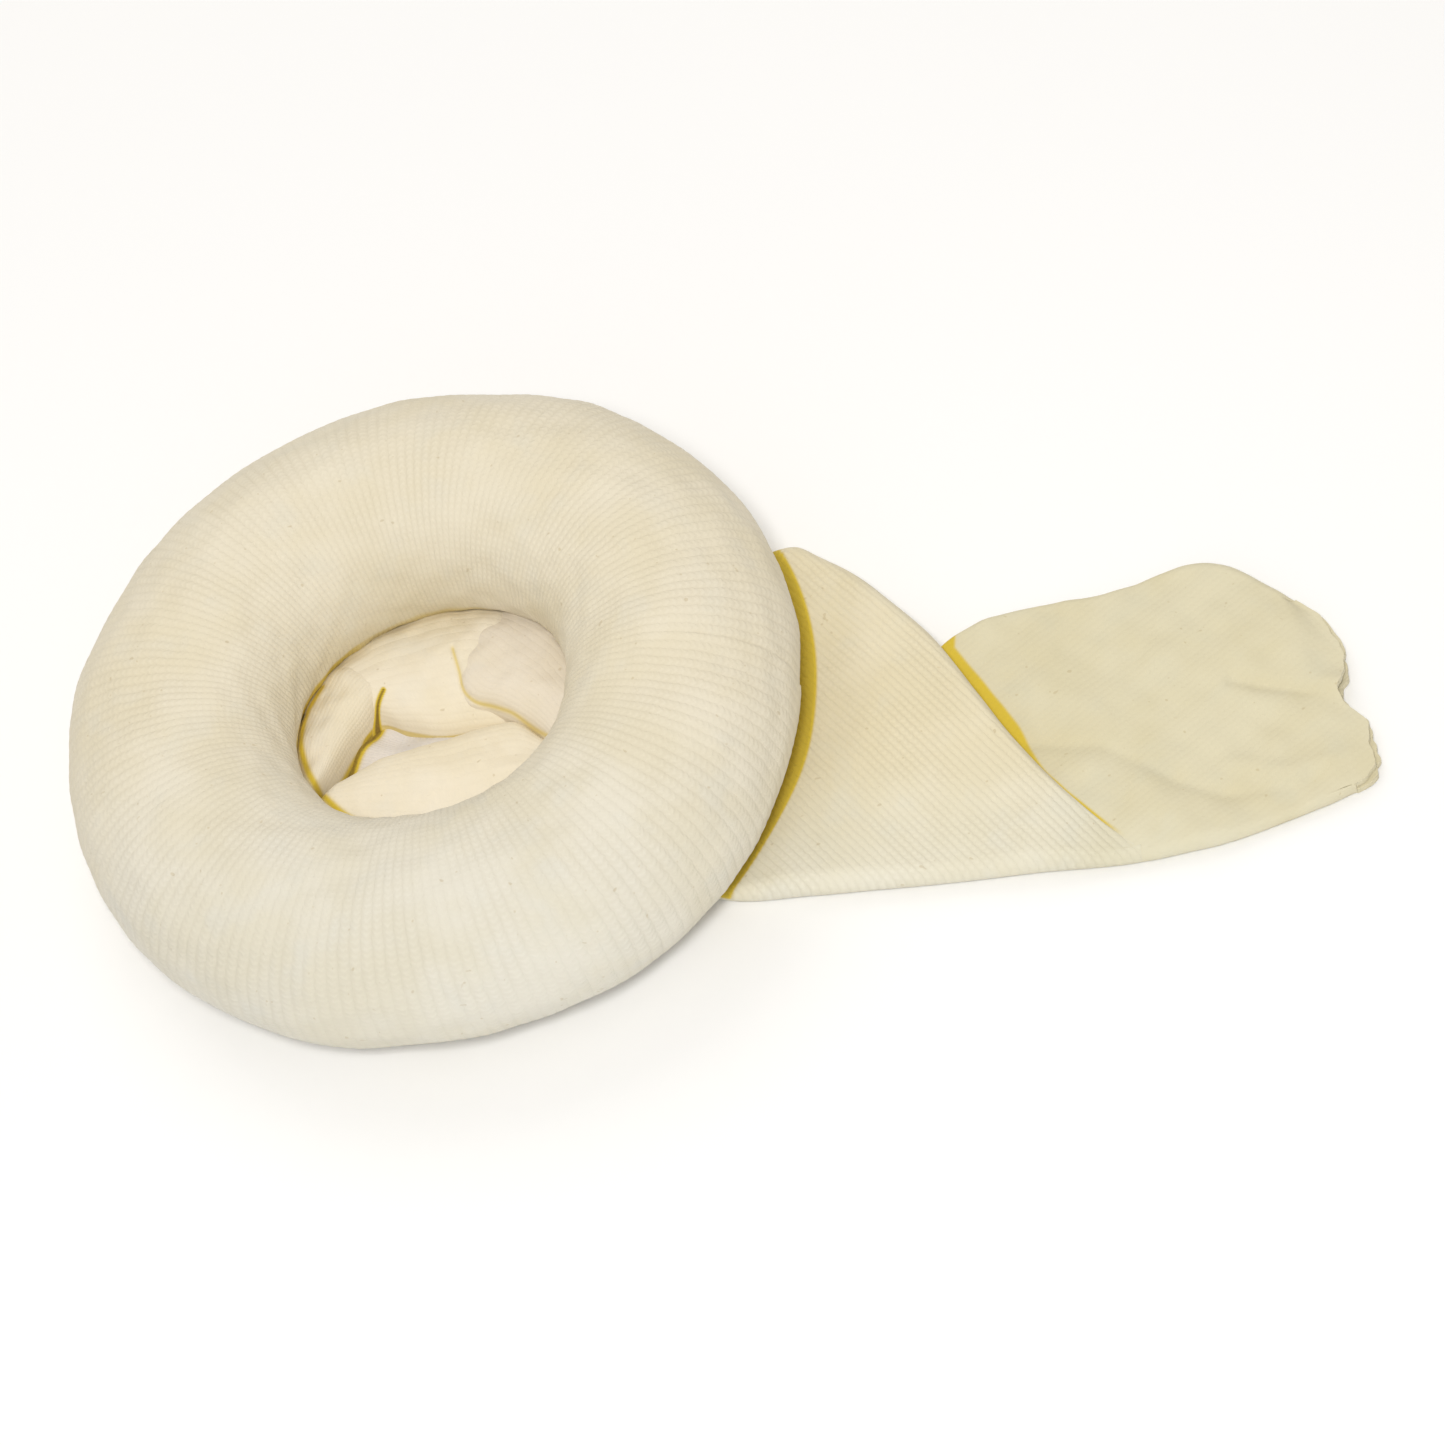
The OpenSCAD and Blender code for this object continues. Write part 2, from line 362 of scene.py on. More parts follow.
def throat():
    """The lower wall of the tube at the bottom of the gather, a shallow dish that shows in the
    gap between the folds. Its upper side fans out in low ridges and comes down at its rim."""
    spokes, rings = 180, 60
    around = np.linspace(0, 2 * np.pi, spokes, endpoint=False)[None, :]
    radius = 55.0 * np.linspace(0, 1, rings)[:, None]
    x, y = radius * np.cos(around), radius * np.sin(around)
    fan = 1.1 * np.sin(15 * around + 1.5 * np.sin(3 * around)) * ease(radius, 8, 30)
    rim = ease(radius, 42, 53)
    top = 5.2 + (fan + 0.8 * ripple(x, y, 16, 41)) * (1 - rim) - 3.2 * rim
    upper = np.stack([x, y, top], axis=-1)
    lower = np.stack([x, y, np.full_like(x, 0.25) + 0.6 * ease(radius, 46, 55)], axis=-1)
    grid = np.concatenate([upper, lower[::-1]])
    wale = (np.arange(spokes + 1) / spokes * WALES)[None, :]
    course = (np.arange(2 * rings) * 0.5)[:, None]
    stitches = np.stack(np.broadcast_arrays(wale, course), axis=-1)
    # Painted shade along the gap between the folds.
    shade = 0.9 * near_line(grid[..., 0], grid[..., 1], GAP, 1.3)
    piece = surface("gather_throat", grid, stitches, shade, close_columns=True)
    return piece


# ------------------------------------------------------------------ the tail

# Outlines of the tail in plan: the edge of the diagonal fold, its low and its high side, the cut
# end, and the line that the ring overhangs, up to which the ring's shadow is painted on the tail.
FOLD_EDGE = [(50, 38), (70, 53), (90, 64.6), (98.6, 65.2), (105.2, 61.2), (116.6, 53.2), (129, 40.2),
             (141.2, 26.8), (155.2, 6.4), (166.4, -10), (178.6, -24.8), (189.8, -36), (201, -46)]
LOW_EDGE = [(50, -40), (70, -49), (87, -54.6), (111, -55), (128, -54.3), (145, -53.6), (162, -52.7),
            (179, -51.7), (191, -51), (202, -50), (213, -48.2), (225, -45.8), (236, -42),
            (247, -37.6), (257, -33.4), (263, -30)]
HIGH_EDGE = [(136, -30), (139, 8), (142, 28), (150, 34.2), (160, 38.2), (176, 41.2), (188, 42.2),
             (198, 45.2), (208, 49.4), (218, 50.8), (227, 48.4), (236, 42.2), (246, 35)]
MOUTH = [(266.8, -27.2), (269, -22), (267.4, -14.4), (266.2, -8), (260.8, -2.6), (258.6, 2.2),
         (259.8, 8), (259.4, 16), (256.8, 24), (252, 30.4)]
RING_SHADE = [(78, -62), (86, -54), (96.8, -37), (106.2, -14), (108.4, 10), (105.4, 35), (96.6, 59),
              (90, 70)]

CREASE_START = 137.0
TABLE = 0.3
TIP = 201.0
TIP_FADE = 34
MOUTH_LINE = LIP_LINE - 1
RELAXED_RIB = 0.008
FLAT_RIB = 0.09
BACK_POINTS = (180, 12)
FRONT_POINTS = (190, 14)
MOUTH_ROWS = 90


def end_panel_top(x, y):
    """Height of the upper wall beyond the fold: two walls, puffed up along the low side of a long
    wrinkle that runs from under the fold towards the low edge, with finer wrinkles at the mouth."""
    wrinkle = [(150, -6), (167, -8.2), (179, -9.6), (191, -11.5), (202, -18), (212, -24.5),
               (226, -30), (244, -29)]
    wrinkle_y = across(wrinkle, x)
    puff = 1.7 * ease(wrinkle_y - y, -1.5, 9) * (1 - ease(x, 205, 246))
    low = 0.6 * near_line(x, y, wrinkle, 2.6)
    mouth_crease = [(228, 8), (242, 4.6), (251, 3), (262, 1)]
    pinch = 1.1 * near_line(x, y, mouth_crease, 2.4)
    ridge = 1.3 * near_line(x, y, [(234, 1), (246, -3), (262, -6)], 5)
    fold = 0.8 * near_line(x, y, [(228, -20), (245, -23.4), (256, -21), (268, -18)], 3.2)
    dome = 1.6 * ease(x, 196, 226) * ease(y, -6, 22)
    soft = 0.5 * ripple(x, y, 30, 21) + 0.22 * ripple(x, y, 11, 22)
    return 4.9 + puff - low - pinch + ridge + fold + dome + soft


def front_panel_top(x, y):
    """Height of the panel on top at the fold. It hugs the ring's underside, springs up beyond it,
    rises gently from the crease to the lofted edge of the fold, and comes down at its tip to the
    panel under it."""
    under = 4.7 - 1.0 * ease(-y, 5, 40) + 6.6 * ease(x + 0.10 * np.abs(y), 76, 112)
    loft = 5.2 * ease(y - CREASE_LINE, 4, 62) * ease(x, 96, 132)
    tip = ease(x, 172, TIP)
    level = (STACK + loft + 0.35 * ripple(x, y, 34, 31)) * (1 - tip) + end_panel_top(x, y) * tip
    settle = ease(x, 98, 124)
    return under * (1 - settle) + level * settle


def wall_loop(x, low, high, top_of, base_of, points, low_round=None):
    """Sections of a flattened tube at each x. A section runs over the upper wall from the low edge
    to the high edge, round the high edge, back along the underside, and round the low edge. Edges
    are half ovals as tall as the stack is there. low_round is 0 where the low edge is cut flat."""
    x = x[:, None]
    low, high = low[:, None], high[:, None]
    flat, turn = points
    t = np.linspace(0, 1, flat)[None, :]
    bend = (np.linspace(0, np.pi, turn + 2)[1:-1])[None, :]

    r_low = (top_of(x, low) - base_of(x, low)) / 2
    r_high = (top_of(x, high) - base_of(x, high)) / 2
    narrow = np.minimum(1, (high - low) / (2.2 * (r_low + r_high)))
    keep = np.ones_like(x) if low_round is None else low_round[:, None]
    inner_low = low + r_low * narrow * keep
    inner_high = high - r_high * narrow
    y_top = inner_low + (inner_high - inner_low) * t
    upper = [y_top, top_of(x, y_top)]
    y_turn = inner_high + r_high * narrow * np.sin(bend)
    high_top, high_base = top_of(x, inner_high), base_of(x, inner_high)
    middle, half = (high_top + high_base) / 2, (high_top - high_base) / 2
    over = [y_turn, middle + half * np.cos(bend)]
    lower = [y_top[:, ::-1], base_of(x, y_top[:, ::-1])]
    y_back = inner_low - r_low * narrow * keep * np.sin(bend)
    low_top, low_base = top_of(x, inner_low), base_of(x, inner_low)
    middle, half = (low_top + low_base) / 2, (low_top - low_base) / 2
    back = [y_back, middle - half * np.cos(bend)]
    y, z = (np.concatenate([part[k] for part in (upper, over, lower, back)], axis=1) for k in (0, 1))
    return np.stack(np.broadcast_arrays(x, y, z), axis=-1)


def wales_in_plan(x, y, angle, pitch):
    """Wale and course at each point, for wales that run at an angle to the tail."""
    wale = (x * -math.sin(angle) + y * math.cos(angle)) / pitch
    course = (x * math.cos(angle) + y * math.sin(angle)) / COURSE_PITCH
    return np.stack(np.broadcast_arrays(wale, course), axis=-1)


def ribbed(grid, stitches, height):
    """The grid with ribs raised along z on its upper side, half as high as the cloth's ribs."""
    above = ease(grid[..., 2], 3.2, 4.6)
    out = grid.copy()
    out[..., 2] += height * above * (rib(stitches[..., 0]) - 0.6)
    return out


def closed_corners(stitches):
    """Stitches with the first column repeated, for a grid whose columns close."""
    return np.concatenate([stitches, stitches[:, :1]], axis=1)


def front_panel_base(x, y):
    """Height of the underside of that panel: on the table, then over the panel that lies under it.
    Along the low edge it stays on the table as far as the crease."""
    low_side = 1 - ease(y, -47, -40)
    return TABLE + (STACK - TABLE) / 2 * ease(x, 118, 137) * (1 - low_side * (x < CREASE_START))


def low_round(x):
    """Half the height of the stack at its low edge, which is also the half-width of its rounding."""
    y = across(LOW_EDGE, x) + STACK / 2
    return (front_panel_top(x, y) - TABLE) / 2


def front_panel():
    """The flattened tube from under the ring to the edge of the fold, in sections across the tail.
    Before the crease its low edge is round; along the crease it is cut, and the crease joins it."""
    x = np.concatenate([np.linspace(52, 96, 40), np.linspace(96.6, CREASE_START - 0.01, 75),
                        np.linspace(CREASE_START, TIP, 120)])
    creased = x >= CREASE_START
    low = across(LOW_EDGE, x) + np.where(creased, low_round(x), 0)
    grid = wall_loop(x, low, across(FOLD_EDGE, x), front_panel_top, front_panel_base, FRONT_POINTS,
                     np.where(creased, 0.0, 1.0))
    stitches = wales_in_plan(grid[..., 0], grid[..., 1], WALE_ANGLE, TAIL_WALE_PITCH)
    grid = ribbed(grid, stitches, FLAT_RIB)
    # Painted shadow of the ring: a straw band on the tail's top where the ring overhangs it.
    past_ring = grid[..., 0] - across_y(RING_SHADE, grid[..., 1])
    band = ease(past_ring, -14, -5) * (1 - ease(past_ring, -1.2, 0.6))
    shade = 0.62 * band * ease(grid[..., 2], 2.5, 4)
    piece = surface("front_panel", with_caps(grid, FRONT_POINTS[0]),
                    closed_corners(padded_rows(stitches)), padded_rows(shade), close_columns=True)
    return piece


def turned_edge():
    """The rounded crease where the front panel turns under and becomes the panel below it: half an
    oval as tall as the stack, drawn out along the low edge, with a flat back."""
    x = np.linspace(CREASE_START, TIP + 2, 130)
    radius = low_round(x)[:, None]
    low = across(LOW_EDGE, x)[:, None]
    x = x[:, None]
    turn = np.linspace(0, np.pi, 26)[None, :]
    top = TABLE + 2 * radius
    y = low + radius * (1 - np.sin(turn))
    z = TABLE + radius * (1 + np.cos(turn))
    climb = np.linspace(0.1, 0.9, 6)[None, :]
    back_y = low + radius + 0 * climb
    grid = np.stack([np.broadcast_to(x, (len(x), 32)), np.concatenate([y, back_y], axis=1),
                     np.concatenate([z, TABLE + (top - TABLE) * climb], axis=1)], axis=-1)
    stitches = wales_in_plan(grid[..., 0], grid[..., 1], WALE_ANGLE, TAIL_WALE_PITCH)
    grid = ribbed(grid, stitches, FLAT_RIB)
    piece = surface("turned_edge", with_caps(grid), closed_corners(padded_rows(stitches)),
                    np.zeros((len(x) + 2, 32)), close_columns=True)
    return piece


def tail_stitches(grid):
    """Wales of the panel beyond the fold, where the tube has turned up and away again."""
    return wales_in_plan(grid[..., 0], grid[..., 1], TURNED_WALE_ANGLE, TAIL_WALE_PITCH)


def relaxed_top(x, y):
    """Height of the upper wall beyond the fold, with its faint ribs."""
    wale = wales_in_plan(x, y, TURNED_WALE_ANGLE, TAIL_WALE_PITCH)[..., 0]
    return end_panel_top(x, y) + RELAXED_RIB * (rib(wale) - 0.6)


def fold_edge_painted_shadow(x, y):
    """Painted shadow on the lower panel under and just beside the lofted fold's edge: how much of it a
    point takes.
    """
    beyond = (x - across_y(FOLD_EDGE[:6:-1], y)) * math.cos(math.radians(42))
    reach = 0.8 + 3.4 * ease(y, -22, 0)
    band = ease(beyond, -9, -3) * (1 - ease(beyond, reach - 0.6, reach + 0.6))
    return 0.5 * band * ease(y, -45, -36)


def table_level(x, y):
    """Height of the underside of cloth that lies on the table."""
    return np.full(np.broadcast_shapes(np.shape(x), np.shape(y)), TABLE)


def back_panel():
    """The flattened tube beyond the fold, from its hidden edge to the line of the mouth's lip."""
    x = np.concatenate([np.linspace(CREASE_START + 0.5, TIP + 0.99, 120),
                        np.linspace(TIP + 1, MOUTH_LINE, 80)])
    past = x > TIP + 0.995
    low = across(LOW_EDGE, x) + np.where(past, 0, low_round(x))
    grid = wall_loop(x, low, across(HIGH_EDGE, x), relaxed_top, table_level, BACK_POINTS,
                     past.astype(float))
    stitches = tail_stitches(grid)
    # Painted shadow of the fold's edge on the panel's top.
    shade = fold_edge_painted_shadow(grid[..., 0], grid[..., 1]) * ease(grid[..., 2], 1.5, 3)
    piece = surface("back_panel", with_caps(grid, BACK_POINTS[0]), closed_corners(padded_rows(stitches)),
                    padded_rows(shade), close_columns=True)
    return piece


def mouth_rails(n):
    """The low and the high side of the tube's walls at the mouth, in n points from the lip's line
    to the cut end, and how far outside each the tube's rounded edge reaches: half the tube's height
    at the lip's line and nothing at the cut end, where the walls part."""
    taper = np.sqrt(1 - np.linspace(0, 1, n) ** 2)
    rails, reaches = [], []
    for edge, ends, inward in ((LOW_EDGE, LOW_EDGE[-3:], 1), (HIGH_EDGE, HIGH_EDGE[-1:], -1)):
        start = float(across(edge, np.array([MOUTH_LINE]))[0])
        reach = (relaxed_top(MOUTH_LINE, start) - TABLE) / 2 * taper
        rail = through([(MOUTH_LINE, start), *ends], n)
        rail[:, 1] += inward * reach
        rails.append(rail)
        reaches.append(reach)
    return rails, reaches


def lip_top(x, y, u):
    """Height of the upper wall a share u of the way from the lip's line to the cut end. The puffed
    cloth settles on to the lower wall there, except at the notch, where it gapes a little."""
    flat = 0.85 * ease(u, 0.5, 0.96)
    gape = 2.2 * near_line(x, y, [(250, 5), (259, 4.6), (266, 4.4)], 4.2) * ease(x, 246, 258)
    return 4.3 + (relaxed_top(x, y) - 4.3) * (1 - flat) + gape


def mouth_patch(along, over):
    """Points in plan of one wall at the mouth: a patch between the lip's line, the two rails and
    the cut end. Each point adds what the rails give to what the two ends give, less the corners."""
    u = np.linspace(0, 1, along)[:, None, None]
    v = np.linspace(0, 1, over)[None, :, None]
    low_rail, high_rail = (rail[:, None, :] for rail in mouth_rails(along)[0])
    cut = through([low_rail[-1, 0], *MOUTH, high_rail[-1, 0]], over)[None]
    start = low_rail[:1] * (1 - v) + high_rail[:1] * v
    corners = (
        low_rail[:1] * (1 - u) * (1 - v) + high_rail[:1] * (1 - u) * v
        + cut[:, :1] * u * (1 - v) + cut[:, -1:] * u * v
    )
    return low_rail * (1 - v) + high_rail * v + start * (1 - u) + cut * u - corners


def mouth_wall(name, upper):
    """One wall of the tube at its mouth, a sheet of cloth with a ragged cut edge."""
    along, over = MOUTH_ROWS, BACK_POINTS[0]
    plan = mouth_patch(along, over)
    y = plan[..., 1]
    u = np.linspace(0, 1, along)[:, None]
    ragged = 0.5 * ripple(y, 0 * y, 6, 51 if upper else 52) + (-0.4 if upper else 0.3)
    x = plan[..., 0] + ragged * ease(u, 0.6, 1)
    if upper:
        outer = lip_top(x, y, u)
        inner = outer - LIP_THICKNESS
    else:
        inner = table_level(x, y)
        outer = inner + LOWER_LIP_THICKNESS
    grid = np.stack([
        np.concatenate([x, x[:, ::-1]], axis=1),
        np.concatenate([y, y[:, ::-1]], axis=1),
        np.concatenate([outer, inner[:, ::-1]], axis=1),
    ], axis=-1)
    stitches = tail_stitches(grid)
    piece = surface(name, with_caps(grid, over), closed_corners(padded_rows(stitches)),
                    np.zeros((along + 2, 2 * over)), close_columns=True)
    return piece


def mouth_side(name, side):
    """The rounded edge of the tube beside its mouth, which joins its two walls: half an oval
    between them, drawn out along one rail, with a flat back that the walls hide. side is 0 for the
    low edge and 1 for the high one."""
    bend, climb = 22, 6
    rails, reaches = mouth_rails(MOUTH_ROWS)
    x, y, reach = rails[side][:, :1], rails[side][:, 1:], reaches[side][:, None]
    height = lip_top(x, y, np.linspace(0, 1, MOUTH_ROWS)[:, None]) - TABLE
    turn = np.linspace(0, np.pi, bend)[None, :]
    out = np.sin(turn) * (1 if side else -1)
    back = np.linspace(0.1, 0.9, climb)[None, :]
    grid = np.stack([
        np.broadcast_to(x, (MOUTH_ROWS, bend + climb)),
        np.concatenate([y + reach * out, y + 0 * back], axis=1),
        TABLE + height * np.concatenate([(1 + np.cos(turn)) / 2, back], axis=1),
    ], axis=-1)
    stitches = tail_stitches(grid)
    piece = surface(name, with_caps(grid), closed_corners(padded_rows(stitches)),
                    np.zeros((MOUTH_ROWS + 2, bend + climb)), close_columns=True)
    return piece


# ------------------------------------------------------------------ materials


class Term:
    """A number that varies over a surface, with Python's operators for its Math nodes."""

    def __init__(self, paint, socket):
        self.paint, self.socket = paint, socket

    def __add__(self, other):
        return self.paint.maths("ADD", self, other)

    def __sub__(self, other):
        return self.paint.maths("SUBTRACT", self, other)

    def __rsub__(self, other):
        return self.paint.maths("SUBTRACT", other, self)

    def __mul__(self, other):
        return self.paint.maths("MULTIPLY", self, other)

    def __pow__(self, other):
        return self.paint.maths("POWER", self, other)

    def __abs__(self):
        return self.paint.maths("ABSOLUTE", self)

    __radd__, __rmul__ = __add__, __mul__

    def between(self, low, high):
        """0 before low, 1 after high, and smooth in between; low may be the greater of the two."""
        made = self.paint.node(
            "ShaderNodeMapRange", {"interpolation_type": "SMOOTHSTEP"},
            {0: self.socket, 1: low, 2: high, 3: 0.0, 4: 1.0},
        )
        return Term(self.paint, made.outputs[0])


class Paint:
    """One material and the nodes that make it."""

    def __init__(self, name):
        self.material = bpy.data.materials.new(name)
        self.material.use_nodes = True
        self.tree = self.material.node_tree
        self.shader = self.tree.nodes["Principled BSDF"]

    def node(self, kind, settings=None, inputs=None):
        """A new node of a type, with its settings and the values or links of its sockets."""
        made = self.tree.nodes.new(kind)
        for key, value in (settings or {}).items():
            setattr(made, key, value)
        for key, value in (inputs or {}).items():
            self.put(made.inputs[key], value)
        return made

    def put(self, socket, value):
        """Sets a socket to a number, colour, Term or link."""
        value = value.socket if isinstance(value, Term) else value
        if isinstance(value, bpy.types.NodeSocket):
            self.tree.links.new(value, socket)
        else:
            socket.default_value = value

    def maths(self, operation, *values):
        """A Math node on Terms and numbers."""
        made = self.node("ShaderNodeMath", {"operation": operation}, dict(enumerate(values)))
        return Term(self, made.outputs[0])

    def parts(self, vector):
        """The first two parts of a vector, as Terms."""
        made = self.node("ShaderNodeSeparateXYZ", {}, {0: vector})
        return Term(self, made.outputs[0]), Term(self, made.outputs[1])

    def blend(self, share, first, second):
        """first where share is 0 and second where it is 1, as colours."""
        made = self.node("ShaderNodeMix", {"data_type": "RGBA"}, {0: share, 6: first, 7: second})
        return made.outputs[2]

    def tint(self, share, colour, by):
        """A colour where share is 0, and the colour times a tint where it is 1."""
        made = self.node("ShaderNodeMix", {"data_type": "RGBA", "blend_type": "MULTIPLY"},
                         {0: share, 6: colour, 7: (*by, 1.0)})
        return made.outputs[2]

    def cloudy(self, scale, detail=2.0, offset=0.0):
        """Noise from 0 to 1 on the object's own coordinates, in features per metre."""
        place = self.node("ShaderNodeTexCoord").outputs["Object"]
        moved = self.node("ShaderNodeVectorMath", {"operation": "ADD"},
                          {0: place, 1: (offset, offset * 0.7, -offset)})
        made = self.node("ShaderNodeTexNoise", {},
                         {"Vector": moved.outputs[0], "Scale": scale, "Detail": detail})
        return Term(self, made.outputs[0])


def tinted(colour, by):
    """A colour times a tint, as a socket takes it."""
    return (*(a * b for a, b in zip(colour, by)), 1.0)


WARM_CLOUD, COOL_CLOUD = (0.955, 0.94, 0.885), (0.945, 0.965, 0.995)
# The next three colours are painted shade: in the knit's grooves, in folds, and in the deepest gaps.
PAINTED_GROOVE_SHADE = (0.66, 0.62, 0.52)
FLECK = (0.42, 0.31, 0.14, 1.0)
PAINTED_SHADE_STRAW = (0.66, 0.49, 0.05, 1.0)
PAINTED_SHADE_BROWN = (0.25, 0.165, 0.03, 1.0)


def knit(name, light, rib_depth, stitch_depth, relief, front_tint, front_side, tip_tint=None):
    """Unbleached cotton knit. Columns of V-shaped stitches stand up between grooves, and the grooves
    are painted darker in patches, as painted shade; cream clouds and cool clouds drift over them, the
    cloth takes a painted cool light between the two values of y in front_side and a tint towards the
    tip of the fold, and a few flecks are left from the raw cotton. Where it lies folded in, shade is
    painted on it: straw, for light that has gone from cloth to cloth, and brown in the deepest gaps."""
    paint = Paint(name)
    across_wales, along_wales = paint.parts(paint.node("ShaderNodeUVMap", {"uv_map": "knit"}).outputs[0])
    wobble = paint.cloudy(900, 2.0) - 0.5
    wale = across_wales + wobble * 0.42
    course = along_wales + wobble * 0.3
    side = abs(paint.maths("FRACT", wale) * 2 - 1)
    crest = 1 - side ** 2.4
    stitch = paint.maths("COSINE", (course + side * 0.45) * (2 * math.pi)) * 0.5 + 0.5
    height = crest * (1 - stitch_depth) + crest * stitch * stitch_depth
    fuzz = paint.cloudy(2600, 3.0, 2.0)

    clouds = paint.cloudy(34, 3.0).between(0.35, 0.68)
    colour = paint.blend(clouds, (*light, 1.0), tinted(light, WARM_CLOUD))
    cool = paint.cloudy(70, 2.0, 5.0).between(0.52, 0.74)
    colour = paint.blend(cool * 0.5, colour, tinted(light, COOL_CLOUD))
    patchy = 0.35 + 1.1 * paint.cloudy(48, 3.0, 7.0).between(0.36, 0.66)
    # Painted shade: the grooves between wales and between stitches are darker, in patches.
    groove_shade = ((1 - crest) * rib_depth + (1 - stitch) * crest * rib_depth * 0.6) * patchy
    colour = paint.blend(groove_shade, colour, tinted(light, PAINTED_GROOVE_SHADE))
    along, aside = paint.parts(paint.node("ShaderNodeTexCoord").outputs["Object"])
    # Painted light: the cloth is tinted cooler towards the front (low y), as under the cool light from
    # the front.
    colour = paint.tint(aside.between(*front_side), colour, front_tint)
    if tip_tint:
        tip = along.between(RING_X + (TIP - TIP_FADE) * MM, RING_X + TIP * MM)
        colour = paint.tint(tip, colour, tip_tint)
    fleck = paint.cloudy(420, 1.0, 9.0).between(0.735, 0.79)
    colour = paint.blend(fleck * 0.3, colour, FLECK)
    # Painted shade: straw where the attribute says the cloth is folded in, brown in the deepest gaps.
    shade = paint.node("ShaderNodeAttribute", {"attribute_name": "fold_shade"}).outputs["Fac"]
    painted_shade_level = Term(paint, shade)
    colour = paint.blend(painted_shade_level.between(0.0, 0.5), colour, PAINTED_SHADE_STRAW)
    colour = paint.blend(painted_shade_level.between(0.5, 0.9), colour, PAINTED_SHADE_BROWN)

    shader = paint.shader
    paint.put(shader.inputs["Base Color"], colour)
    paint.put(shader.inputs["Roughness"], 0.88 + 0.1 * fuzz)
    shader.inputs["Specular IOR Level"].default_value = 0.2
    shader.inputs["Sheen Weight"].default_value = 0.12
    shader.inputs["Sheen Roughness"].default_value = 0.5
    bump = paint.node("ShaderNodeBump", {}, {"Strength": relief, "Distance": STITCH_HEIGHT,
                                             "Height": height + fuzz * 0.35})
    paint.put(shader.inputs["Normal"], bump.outputs[0])
    return paint.material


# ------------------------------------------------------------------ stage, light and camera

VIEW_AZIMUTH, VIEW_ELEVATION, VIEW_ROLL = 19.96, 53.4, -20.2
VIEW_DISTANCE = 1.748
AIM = Vector((RING_X + 0.0782, 0.00925, 0.0))


def view_axes():
    """The camera's right, up and back directions."""
    a, e, r = (math.radians(d) for d in (VIEW_AZIMUTH, VIEW_ELEVATION, VIEW_ROLL))
    back = Vector((math.sin(a) * math.cos(e), -math.cos(a) * math.cos(e), math.sin(e)))
    level = Vector((math.cos(a), math.sin(a), 0))
    rise = back.cross(level)
    right = level * math.cos(r) + rise * math.sin(r)
    up = rise * math.cos(r) - level * math.sin(r)
    return right, up, back


def facing(place, right, up, back):
    """A matrix that puts something at a place, looking against back."""
    m = Matrix.Identity(4)
    for k, axis in enumerate((right, up, back, place)):
        for row in range(3):
            m[row][k] = axis[row]
    return m


def camera():
    right, up, back = view_axes()
    data = bpy.data.cameras.new("camera")
    data.lens, data.sensor_width = 150.0, 36.0
    made = bpy.data.objects.new("camera", data)
    made.matrix_world = facing(AIM + back * VIEW_DISTANCE, right, up, back)
    bpy.context.collection.objects.link(made)
    bpy.context.scene.camera = made


def area_light(name, direction, distance, size, power, colour):
    """A square soft light that looks at the object from a direction."""
    back = Vector(direction).normalized()
    side = Vector((0, 0, 1)).cross(back).normalized()
    data = bpy.data.lights.new(name, "AREA")
    data.size, data.energy, data.color = size, power, colour
    made = bpy.data.objects.new(name, data)
    made.matrix_world = facing(AIM + back * distance, side, back.cross(side), back)
    bpy.context.collection.objects.link(made)


def studio():
    """A pale floor under soft light: a key near the camera, a little up and to its left, a weak warm
    fill from the far side and a faint cool one from the front."""
    right, up, back = view_axes()
    key = back - 0.07 * right + 0.06 * up
    area_light("key", key, 1.9, 0.30, 17.9, (1.0, 0.99, 0.97))
    area_light("far_fill", (-0.5, 0.9, 1.2), 1.7, 1.4, 7.0, (1.0, 0.985, 0.95))
    area_light("front_fill", (-0.1, -1.0, 0.45), 1.6, 1.2, 1.5, (0.68, 0.84, 1.0))
    world = bpy.data.worlds.new("studio")
    bpy.context.scene.world = world
    world.use_nodes = True
    sky = world.node_tree.nodes["Background"]
    sky.inputs[0].default_value = (1.0, 0.97, 0.915, 1.0)
    sky.inputs[1].default_value = 0.52

    paint = Paint("floor")
    paint.put(paint.shader.inputs["Base Color"],
              paint.blend(paint.cloudy(3, 2.0), (0.93, 0.93, 0.94, 1), (0.95, 0.95, 0.955, 1)))
    paint.shader.inputs["Roughness"].default_value = 0.9
    half = 4.0
    mesh = bpy.data.meshes.new("floor")
    mesh.from_pydata([(-half, -half, 0), (half, -half, 0), (half, half, 0), (-half, half, 0)], [],
                     [(0, 1, 2, 3)])
    mesh.materials.append(paint.material)
    floor = bpy.data.objects.new("floor", mesh)
    bpy.context.collection.objects.link(floor)
    bpy.context.scene.view_settings.view_transform = "Standard"


# ------------------------------------------------------------------ the whole object


def finish_piece(piece, material, nodes):
    """Gives a piece its material and slot, and hides the plain solids that it stands for."""
    piece.data.materials.clear()
    piece.data.materials.append(material)
    if nodes:
        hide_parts(*nodes)


camera()
studio()

# Painted light: tints for the side towards the front, cooler on the ring and cooler and brighter on the
# tail.
RING_TINT, RING_SIDE = (0.945, 0.985, 1.07), (0.0, -0.1)
TAIL_TINT, TAIL_SIDE = (1.01, 1.06, 1.19), (-0.005, -0.05)
RELAXED_TINT, RELAXED_SIDE = (1.03, 1.055, 1.12), (-0.03, -0.05)
TIP_TINT = (0.93, 0.928, 0.873)

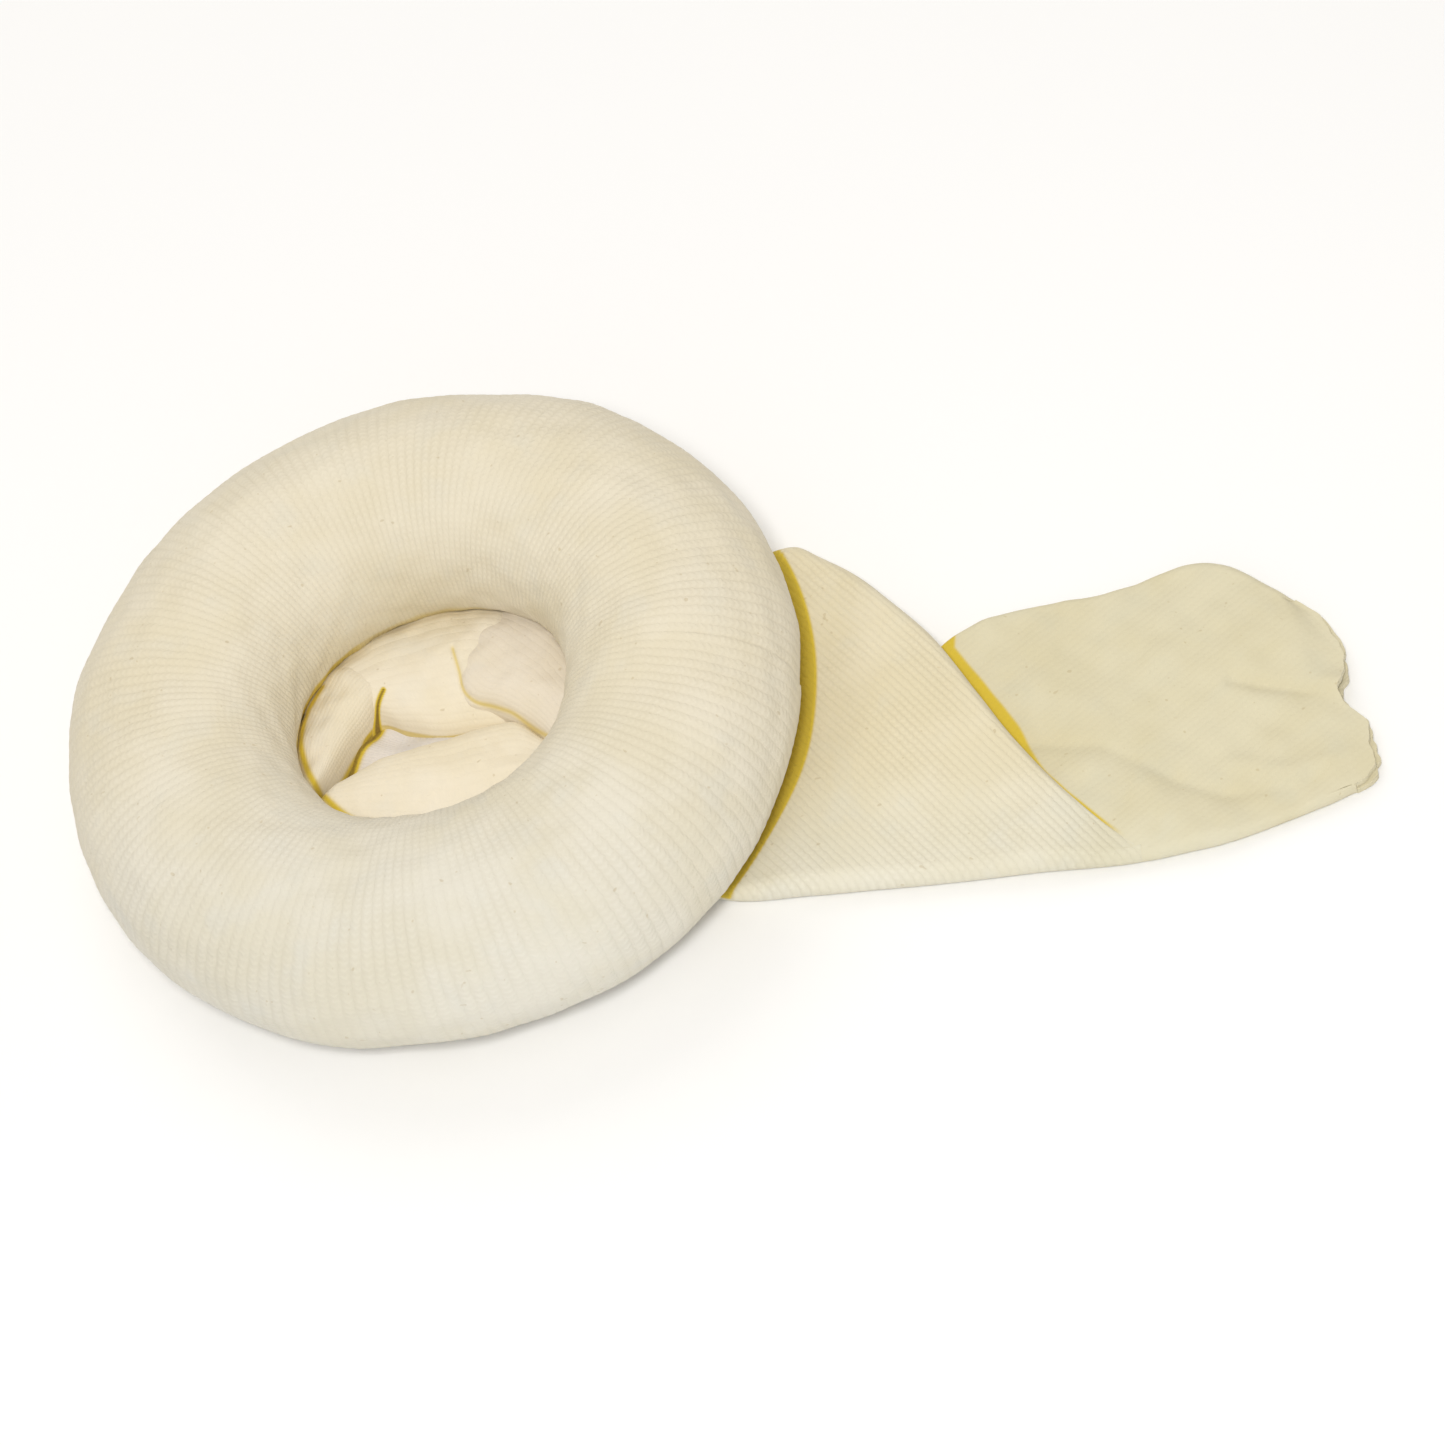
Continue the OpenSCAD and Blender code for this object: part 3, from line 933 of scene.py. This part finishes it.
cotton = knit("cotton_knit", (0.775, 0.71, 0.57), rib_depth=0.14, stitch_depth=0.5, relief=0.75,
              front_tint=RING_TINT, front_side=RING_SIDE)
cotton_flat = knit("cotton_knit_flat", (0.77, 0.70, 0.525), rib_depth=0.17, stitch_depth=0.2, relief=0.75,
                   front_tint=TAIL_TINT, front_side=TAIL_SIDE, tip_tint=TIP_TINT)
cotton_plain = knit("cotton_knit_relaxed", (0.695, 0.64, 0.462), rib_depth=0.02, stitch_depth=0.4,
                    relief=0.4, front_tint=RELAXED_TINT, front_side=RELAXED_SIDE)
cotton_gather = knit("cotton_knit_gathered", (0.84, 0.77, 0.635), rib_depth=0.03, stitch_depth=0.3,
                     relief=0.4, front_tint=RING_TINT, front_side=RING_SIDE)
cotton_cool = knit("cotton_knit_cool", (0.795, 0.725, 0.62), rib_depth=0.03, stitch_depth=0.3,
                   relief=0.4, front_tint=RING_TINT, front_side=RING_SIDE)
cotton_inside = knit("cotton_knit_inside", (0.77, 0.73, 0.71), rib_depth=0.06, stitch_depth=0.4,
                     relief=0.5, front_tint=RING_TINT, front_side=RING_SIDE)

ring = ring_cover()
finish_piece(ring, cotton, ["roll_lap_01"])
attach(ring, "ring")

for material, solids, shape in (
    (cotton_gather, ["gather_fold_left"],
     dict(name="left_fold", rim=RIM_LEFT, edge=EDGE_LEFT, height=18.2, lean=(0.55, 0.6),
          power=(0.34, 0.4), seed=61, tapers=(0.08, 0.26), foot_shade=1.0, gap_shade=0.0)),
    (cotton_gather, [],
     dict(name="far_fold", rim=RIM_FAR, edge=EDGE_FAR, height=17.2, lean=(0.40, 0.40),
          power=(0.8, 0.8), seed=66, tapers=(0.12, 0.08), foot_shade=0.3, gap_shade=1.0)),
    (cotton_gather, ["gather_fold_front"],
     dict(name="front_fold", rim=RIM_FRONT, edge=EDGE_FRONT, height=17.0, lean=(0.59, 0.545),
          power=(0.55, 0.55), seed=71, tapers=(0.12, 0.14), foot_shade=0.0, gap_shade=0.0)),
    (cotton_cool, ["gather_fold_back"],
     dict(name="back_fold", rim=RIM_BACK, edge=EDGE_BACK, height=18.4, lean=(0.5, 0.5),
          power=(0.34, 0.4), seed=81, tapers=(0.32, 0.14), foot_shade=0.1, gap_shade=0.0)),
):
    fold = puffed_fold(**shape)
    finish_piece(fold, material, solids)
    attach(fold, "gather")
dish = throat()
finish_piece(dish, cotton_inside, ["gather_floor"])
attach(dish, "gather")

front = front_panel()
finish_piece(front, cotton_flat,
             ["under_ring_wall", "front_panel_lower_wall", "front_panel_upper_wall"])


def at_line(line):
    """The point on the tail's middle where a line crosses it, in the part's own frame."""
    return (RING_X + line * MM, 0.0, 0.0)


at_line(LIFT_LINE - 8)
at_line(LIFT_LINE + 8)
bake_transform(front)

edge = turned_edge()
finish_piece(edge, cotton_flat, ["diagonal_crease"])
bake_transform(edge)

back = back_panel()
finish_piece(back, cotton_plain,
             ["back_panel_lower_wall", "back_panel_upper_wall", "end_panel_upper_wall"])
at_line(END_LINE - 2)
at_line(END_LINE + 9)
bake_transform(back)

for side, name in enumerate(("mouth_low_side", "mouth_high_side")):
    gusset = mouth_side(name, side)
    finish_piece(gusset, cotton_plain, [])
    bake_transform(gusset)

lower_lip = mouth_wall("mouth_lower_wall", upper=False)
finish_piece(lower_lip, cotton_plain, ["end_panel_lower_wall"])
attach(lower_lip, "end")
upper_lip = mouth_wall("mouth_upper_wall", upper=True)
finish_piece(upper_lip, cotton_plain, ["mouth_lip"])
at_line(LIP_LINE - 1)
at_line(LIP_LINE + 5)
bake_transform(upper_lip)

for name, solid in frame["nodes"].items():
    if not solid.hide_render:
        solid.data.materials.clear()
        solid.data.materials.append(cotton_gather)
